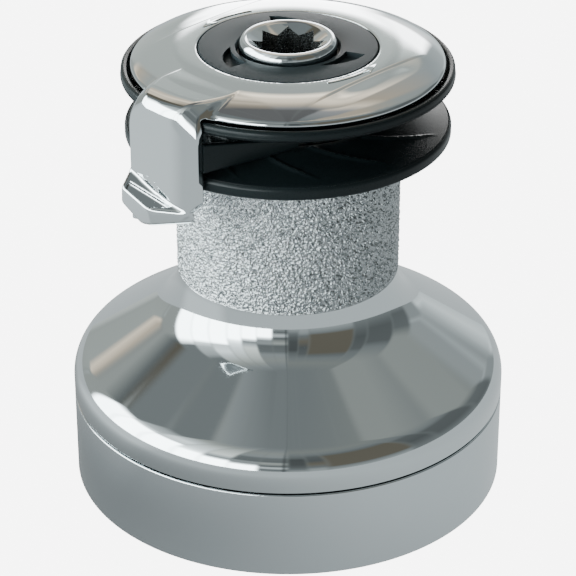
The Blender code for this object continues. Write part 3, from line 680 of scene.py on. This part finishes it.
def make_nut():
    outline = [(18.05, NUT_TOP, 0.5), (NUT_R, NUT_TOP, 0.45), (NUT_R, 160.2), (24.3, 160.2)]
    outline += [(24.3, STEM_TOP + 0.3), (18.05, STEM_TOP + 0.3)]
    mesh = lathe("slate_nut", rounded(outline, 0.1))
    nut = add_piece("slate_nut", mesh, SLATE, "root", ["top_nut"])
    cutters = []
    for i in range(3):
        blunt = RECESS_START + 120 * i
        outer = []
        inner = []
        for t in np.linspace(0, 1, 24):
            outer.append(from_arm(27.3 - 7.3 * t**1.25, blunt - 3.0 - 41.0 * t))
            inner.append(from_arm(20.3 - 0.4 * t, blunt - 1.0 - 43.0 * t))
        cutters.append(prism(outer + inner[::-1], NUT_TOP - RECESS_DEPTH, NUT_TOP + 2))
    cut_with(nut, cutters)


SOCKET_FLATS = 17.7
SOCKET_FLOOR = 124.0
SOCKET_MOUTH_R = 13.2
SOCKET_MOUTH_Z = 165.5


def make_spindle():
    outline = [(0.0, 166.0), (9.4, 166.0)]
    outline += [(13.3, 168.55), (13.7, 168.85), (14.4, 169.2), (15.1, TOP), (15.9, 169.1), (16.5, 168.5)]
    outline += [(16.9, 167.6), (17.04, 166.6), (17.04, STEM_TOP + 0.3), (16.4, STEM_TOP + 0.3)]
    outline += [(16.4, 118.3), (11.3, 118.3), (11.3, 24.5), (7.9, 24.5), (7.9, 1.2), (0.0, 1.2)]
    outline = [(max(r, 0.002), z) for r, z in outline]
    mesh = lathe("handle_spindle", outline, 192)
    spindle = add_piece("handle_spindle", mesh, CHROME, "spindle", ["main_spindle"])
    flats = SOCKET_FLATS / 2
    corner = flats * math.sqrt(2)
    valley = flats / math.cos(math.pi / 8)
    star = []
    for k in range(16):
        star.append(polar(corner if k % 2 == 0 else valley, math.radians(90 + CAMERA_AZIMUTH + 22.5 * k)))
    cut_with(spindle, [prism(star, SOCKET_FLOOR, TOP + 3)])

    # The broached walls of the socket are left bare
    walls = spindle.data
    walls.materials.append(BARE_STEEL)
    for face in walls.polygons:
        in_mouth = math.hypot(face.center.x, face.center.y) < SOCKET_MOUTH_R * MM
        if in_mouth and face.center.z < SOCKET_MOUTH_Z * MM:
            face.material_index = 1


def make_stripper():
    """The blade between the jaws, thinner towards the axis, with rounded edges."""
    outer = np.array((15.0, -56.6))
    inner = np.array((28.6, -25.4))
    along = (inner - outer) / np.linalg.norm(inner - outer)
    across = np.array((-along[1], along[0]))
    length = np.linalg.norm(inner - outer)
    rings = []
    for t in np.linspace(0, 1, 20):
        centre = outer + along * length * t
        floor = 142.6 + 3.0 * t
        roof = 152.8 - 3.8 * t
        thick = 1.2 - 0.5 * t**3
        section = rounded([(thick, roof), (thick, floor), (-thick, floor), (-thick, roof)], 0.5, 3)
        rings.append([(*(centre + across * s), h) for s, h in section])
    vertices = np.array(rings).reshape(-1, 3)
    count = len(rings[0])
    faces = []
    for i in range(len(rings) - 1):
        for j in range(count):
            k = (j + 1) % count
            faces.append((i * count + j, i * count + k, (i + 1) * count + k, (i + 1) * count + j))
    mesh = bpy.data.meshes.new("stripper_blade")
    last = (len(rings) - 1) * count
    caps = [tuple(range(count))[::-1], tuple(range(last, last + count))]
    mesh.from_pydata([tuple(v * MM) for v in vertices], [], faces + caps)
    mesh.shade_smooth()
    mesh.set_sharp_from_angle(angle=math.radians(35))
    add_piece("stripper_blade", mesh, BLACK, "root", ["line_stripper"])


def dress_nodes():
    """Every CAD node gets a look. The hidden works are seen only as these nodes."""
    for part in frame["record"]["subparts"]:
        node = frame["nodes"][part["node"]]
        node.data.materials.clear()
        node.data.materials.append(SLOT_LOOKS[part["material_slot"]])


# Stage

FLOOR_HALF = 6.0


def make_floor(name, z):
    """A plain floor. It is made twice: once for the camera, and once for the chrome to reflect."""
    half = FLOOR_HALF
    mesh = bpy.data.meshes.new(name)
    corners = [(-half, -half, 0), (half, -half, 0), (half, half, 0), (-half, half, 0)]
    mesh.from_pydata(corners, [], [(0, 1, 2, 3)])
    floor = bpy.data.objects.new(name, mesh)
    bpy.context.scene.collection.objects.link(floor)
    floor.location.z = z
    made, nodes, links, shader = new_material(name)
    shader.inputs["Base Color"].default_value = (0.02, 0.02, 0.02, 1)
    shader.inputs["Roughness"].default_value = 1.0
    shader.inputs["Specular IOR Level"].default_value = 0.0
    mesh.materials.append(made)
    return floor, nodes, links, shader


def make_floors():
    pale, _, _, shader = make_floor("pale_floor", -0.0002)
    shader.inputs["Emission Color"].default_value = (1, 1, 1, 1)
    shader.inputs["Emission Strength"].default_value = 7.0
    pale.visible_glossy = False
    pale.visible_diffuse = False
    pale.visible_shadow = False

    # What the chrome sees is a glowing floor with painted light and shade: a painted shadow of the winch
    # makes it dim close to the winch, and painted light makes it lighter further out and on the camera's
    # right, and lightest far out on its left
    grey, nodes, links, shader = make_floor("reflected_floor", -0.0004)
    right, away, _ = turned_axes(nodes, links, "Object")
    squares = math_node(nodes, links, "ADD", square(nodes, links, right), square(nodes, links, away))
    reach = math_node(nodes, links, "SQRT", squares)
    # Painted shade close to the winch, darker on the camera's left, where the winch's shadow would fall
    painted_shade_near = rise_between(nodes, links, right, -0.10, 0.12, 0.28, 0.82)
    side = math_node(nodes, links, "DIVIDE", right, reach)
    painted_light_far = rise_between(nodes, links, side, -0.96, -0.84, 1.12, 0.78)
    outward = rise_between(nodes, links, reach, 0.07, 0.23, 0.0, 1.0)
    painted_light_outward = math_node(nodes, links, "MULTIPLY", outward, math_node(nodes, links, "SUBTRACT", painted_light_far, painted_shade_near))
    shader.inputs["Emission Color"].default_value = (0.93, 1.02, 1.04, 1)
    # The emission strength is painted light and shade, not a lamp: the winch's painted shadow near it,
    # painted light beyond
    links.new(math_node(nodes, links, "ADD", painted_shade_near, painted_light_outward), shader.inputs["Emission Strength"])
    grey.visible_camera = False


# The studio that the chrome reflects. A sector has a start, an end, an edge width and stops of
# elevation, brightness and tint, all angles in degrees. FRONT_SECTORS measure azimuth from the
# camera's side towards its right, and BACK_SECTORS from the far side towards the camera's left.

COOL = (0.93, 1.03, 1.04)
GREEN = (0.95, 1.03, 0.98)
BROWN = (1.08, 1.0, 0.80)
TAN = (1.16, 1.0, 0.78)
PLAIN = (1.0, 1.0, 1.0)

# Stops above the ones that differ, shared by several sectors
UPPER = [(66, 0.52, GREEN), (72, 0.4, COOL), (80, 0.27, COOL)]
MIDDLE = [(43, 0.24, COOL), (49, 0.42, COOL), (60, 0.42, GREEN), (70, 0.35, COOL), (80, 0.28, COOL)]
HIGH = [(56, 0.28, COOL), (65, 0.32, GREEN), (80, 0.27, COOL)]
BAND = [
    (41, 1.6, TAN), (47, 1.3, TAN), (52, 0.8, TAN), (58, 0.4, PLAIN),
    (62, 0.2, PLAIN), (84, 0.17, PLAIN),
]
ROOF = [(51, 0.9, TAN), (55, 0.5, TAN), (61, 0.2, PLAIN), (84, 0.2, PLAIN)]
FRONT_SECTORS = [
    (-135, -120, 2, [
        (0, 0.8, COOL), (13, 1.2, COOL), (16, 0.45, COOL), (25, 0.3, COOL),
        (28, 0.17, PLAIN), (33, 0.27, COOL),
    ]),
    (-120, -100, 3, [
        (0, 11, COOL), (33, 11, COOL), (38, 2.8, COOL), (41, 0.28, COOL),
    ]),
    (-100, -80, 3, [
        (0, 12, COOL), (33, 12, COOL), (37, 2.2, COOL), (42, 1.0, COOL),
        (52, 0.65, COOL), (57, 0.27, COOL),
    ]),
    (-80, -60, 3, [
        (0, 12, COOL), (33, 12, COOL), (37, 1.6, COOL), (47, 1.9, COOL),
        (53, 1.2, COOL), (62, 0.65, GREEN),
    ] + UPPER),
    (-60, -45, 3, [
        (0, 12, COOL), (23, 12, COOL), (28, 4.5, COOL), (33, 2.6, COOL),
        (40, 1.8, COOL), (58, 0.85, GREEN),
    ] + UPPER),
    (-45, -30, 2, [
        (0, 12, COOL), (19, 12, COOL), (23, 2.6, COOL), (27, 0.4, COOL),
        (33, 1.0, COOL), (38, 1.5, GREEN),
    ] + UPPER),
    (-30, -15, 2, [
        (0, 11, COOL), (14, 11, COOL), (18, 2.4, COOL), (22, 0.47, COOL),
        (28, 0.5, COOL), (32, 0.22, COOL),
    ] + MIDDLE),
    (-15, 0, 2, [
        (0, 0.42, COOL), (6, 0.19, COOL), (12, 1.0, COOL), (17, 0.17, COOL),
        (27, 0.6, GREEN), (32, 0.21, COOL),
    ] + MIDDLE),
    (-2.7, -1.3, 1.1, [
        (0, 0.13, COOL), (40, 0.12, COOL), (60, 0.2, COOL),
    ]),
    (0, 10, 2, [
        (0, 0.5, COOL), (8, 0.25, COOL), (15, 0.17, COOL), (24, 0.125, COOL),
        (40, 0.115, COOL), (46, 0.2, COOL),
    ] + HIGH),
    (10, 20, 2, [
        (0, 0.55, COOL), (7, 0.45, COOL), (13, 0.24, COOL), (24, 0.19, BROWN),
        (35, 0.14, COOL), (47, 0.17, COOL),
    ] + HIGH),
    (20, 65, 3, [
        (0, 0.5, COOL), (8, 0.3, COOL), (12, 0.17, BROWN), (46, 0.165, BROWN),
        (51, 0.21, COOL),
    ] + HIGH),
    (65, 80, 3, [
        (0, 0.27, COOL), (15, 0.18, COOL), (25, 0.14, COOL), (43, 0.17, COOL),
        (48, 0.25, COOL),
    ] + HIGH),
    (80, 110, 3, [
        (0, 0.27, COOL), (8, 0.2, COOL), (15, 0.155, COOL), (35, 0.165, COOL),
        (42, 0.28, COOL), (60, 0.42, GREEN),
    ]),
    (110, 135, 3, [
        (0, 0.26, COOL), (5, 0.18, COOL), (22, 0.2, COOL), (33, 0.42, GREEN),
        (58, 0.44, GREEN), (62, 0.8, TAN),
    ]),
]
BACK_SECTORS = [
    (-50, -33, 3, [
        (0, 0.4, COOL), (15, 0.42, COOL), (19, 0.6, COOL), (22, 0.46, COOL),
        (48, 0.5, GREEN), (62, 0.6, TAN),
    ]),
    (-35, -14, 3, [
        (0, 1.0, COOL), (5, 1.2, COOL), (12, 0.7, COOL), (26, 0.52, COOL),
        (50, 0.6, TAN), (57, 1.2, TAN), (63, 0.5, PLAIN), (78, 0.3, COOL),
    ]),
    (-15, -5, 2, [
        (0, 1.3, COOL), (9, 2, PLAIN), (12, 8, PLAIN), (20, 8, PLAIN),
        (23, 1.4, GREEN), (26, 0.62, GREEN),
    ] + BAND),
    (-5, 6, 2, [
        (0, 12, PLAIN), (19, 10, PLAIN), (22, 1.1, GREEN), (25, 0.66, GREEN),
        (32, 0.66, GREEN), (37, 2.6, TAN),
    ] + BAND),
    (5, 26, 2, [
        (0, 0.85, GREEN), (18, 0.76, GREEN), (32, 0.76, GREEN), (38, 1.0, TAN),
        (43, 1.5, TAN), (49, 0.7, TAN),
    ] + ROOF),
    (25, 45, 3, [
        (0, 0.55, GREEN), (16, 0.6, GREEN), (19, 1.3, TAN), (23, 0.75, TAN),
        (32, 0.62, GREEN), (46, 1.2, TAN),
    ] + ROOF),
    (45, 62, 3, [
        (0, 0.5, GREEN), (30, 0.5, GREEN), (37, 0.2, COOL), (41, 0.15, BROWN),
        (58, 0.17, BROWN), (68, 0.27, COOL),
    ]),
]


def rise_between(nodes, links, value, start, end, low, high):
    """A value that goes smoothly from low to high as another passes from start to end."""
    rise = nodes.new("ShaderNodeMapRange")
    rise.interpolation_type = "SMOOTHSTEP"
    rise.inputs["From Min"].default_value = start
    rise.inputs["From Max"].default_value = end
    rise.inputs["To Min"].default_value = low
    rise.inputs["To Max"].default_value = high
    links.new(value, rise.inputs["Value"])
    return rise.outputs["Result"]


def between(nodes, links, value, start, end, edge):
    """1 between two values and 0 outside them, with soft edges."""
    opening = rise_between(nodes, links, value, start - edge, start + edge, 0.0, 1.0)
    closing = rise_between(nodes, links, value, end - edge, end + edge, 1.0, 0.0)
    return math_node(nodes, links, "MULTIPLY", opening, closing)


def elevation_colours(nodes, links, elevation, stops):
    """A colour for each elevation, from 0 to 90 degrees."""
    ramp = nodes.new("ShaderNodeValToRGB")
    elements = ramp.color_ramp.elements
    elements.remove(elements[1])
    for place, (height, bright, tint) in enumerate(stops):
        element = elements[0] if place == 0 else elements.new(height / 90)
        element.position = height / 90
        element.color = (*[bright * channel for channel in tint], 1)
    links.new(elevation, ramp.inputs[0])
    return ramp.outputs[0]


def math_node(nodes, links, operation, first, second=None):
    node = nodes.new("ShaderNodeMath")
    node.operation = operation
    for socket, value in zip(node.inputs, (first, second)):
        if isinstance(value, (int, float)):
            socket.default_value = value
        elif value is not None:
            links.new(value, socket)
    return node.outputs[0]


def square(nodes, links, value):
    return math_node(nodes, links, "MULTIPLY", value, value)


def turned_axes(nodes, links, source):
    """The camera's right, the way away from it, and up, as separate values."""
    coords = nodes.new("ShaderNodeTexCoord")
    turned = nodes.new("ShaderNodeMapping")
    turned.inputs["Rotation"].default_value = (0, 0, math.radians(-CAMERA_AZIMUTH))
    links.new(coords.outputs[source], turned.inputs["Vector"])
    split = nodes.new("ShaderNodeSeparateXYZ")
    links.new(turned.outputs["Vector"], split.inputs["Vector"])
    return split.outputs


def make_world():
    world = bpy.data.worlds.new("studio")
    world.use_nodes = True
    bpy.context.scene.world = world
    nodes = world.node_tree.nodes
    links = world.node_tree.links
    right, away, up = turned_axes(nodes, links, "Generated")
    toward = math_node(nodes, links, "MULTIPLY", away, -1.0)
    left = math_node(nodes, links, "MULTIPLY", right, -1.0)
    degrees = 180 / math.pi
    front_turn = math_node(nodes, links, "ARCTAN2", right, toward)
    front = math_node(nodes, links, "MULTIPLY", front_turn, degrees)
    back_turn = math_node(nodes, links, "ARCTAN2", left, away)
    back = math_node(nodes, links, "MULTIPLY", back_turn, degrees)
    height = math_node(nodes, links, "ARCSINE", up)
    elevation = math_node(nodes, links, "MULTIPLY", height, 2 / math.pi)
    sky = elevation_colours(nodes, links, elevation, [(0, 0.3, COOL), (60, 0.33, GREEN), (85, 0.3, COOL)])
    for angle, sectors in ((front, FRONT_SECTORS), (back, BACK_SECTORS)):
        for start, end, edge, stops in sectors:
            mix = nodes.new("ShaderNodeMix")
            mix.data_type = "RGBA"
            links.new(between(nodes, links, angle, start, end, edge), mix.inputs[0])
            links.new(sky, mix.inputs[6])
            links.new(elevation_colours(nodes, links, elevation, stops), mix.inputs[7])
            sky = mix.outputs[2]
    links.new(sky, nodes["Background"].inputs["Color"])
    nodes["Background"].inputs["Strength"].default_value = 1.0


CAMERA_DISTANCE = 0.7833
CAMERA_HEIGHT = 0.4994
CAMERA_TILT = 61.329
CAMERA_LENS = 154.06


def make_camera():
    camera = bpy.data.cameras.new("camera")
    camera.sensor_width = 36.0
    camera.lens = CAMERA_LENS
    obj = bpy.data.objects.new("camera", camera)
    bpy.context.scene.collection.objects.link(obj)
    distance = CAMERA_DISTANCE
    azimuth = math.radians(CAMERA_AZIMUTH)
    obj.location = (distance * math.sin(azimuth), -distance * math.cos(azimuth), CAMERA_HEIGHT)
    obj.rotation_euler = (math.radians(CAMERA_TILT), 0, azimuth)
    bpy.context.scene.camera = obj


def main():
    dress_nodes()
    make_base()
    make_drum()
    make_jaws()
    make_cap()
    make_arrows()
    make_nut()
    make_spindle()
    make_stripper()
    make_floors()
    make_world()
    make_camera()


main()
